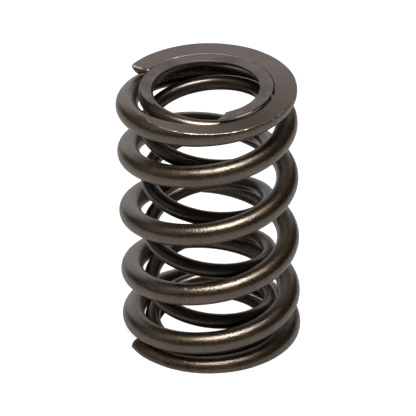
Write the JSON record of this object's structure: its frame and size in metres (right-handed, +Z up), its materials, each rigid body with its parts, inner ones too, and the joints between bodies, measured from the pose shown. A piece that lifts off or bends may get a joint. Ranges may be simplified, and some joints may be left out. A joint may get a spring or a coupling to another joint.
{
  "type": "engine valve spring",
  "caption": "Dual valve spring: a left-hand inner coil nested in a right-hand outer coil, both of round wire with closed, flat-ground ends.",
  "frame": {"origin": "centre of the lower ground face, on the spring's axis", "axes": "+Z up along the spring's axis, from the seat end to the retainer end; +Y away from the viewer and +X to the right, as it is seen in the picture"},
  "size_m": [0.0362, 0.0362, 0.0563],
  "materials": {
    "outer_steel": "dark bronze-grey spring steel, shot peened, satin, with ground end faces",
    "inner_steel": "darker spring steel, satin, with ground end faces"
  },
  "bodies": {
    "root": {"outer_spring": "outer_steel", "inner_spring": "inner_steel"}
  },
  "joints": []
}
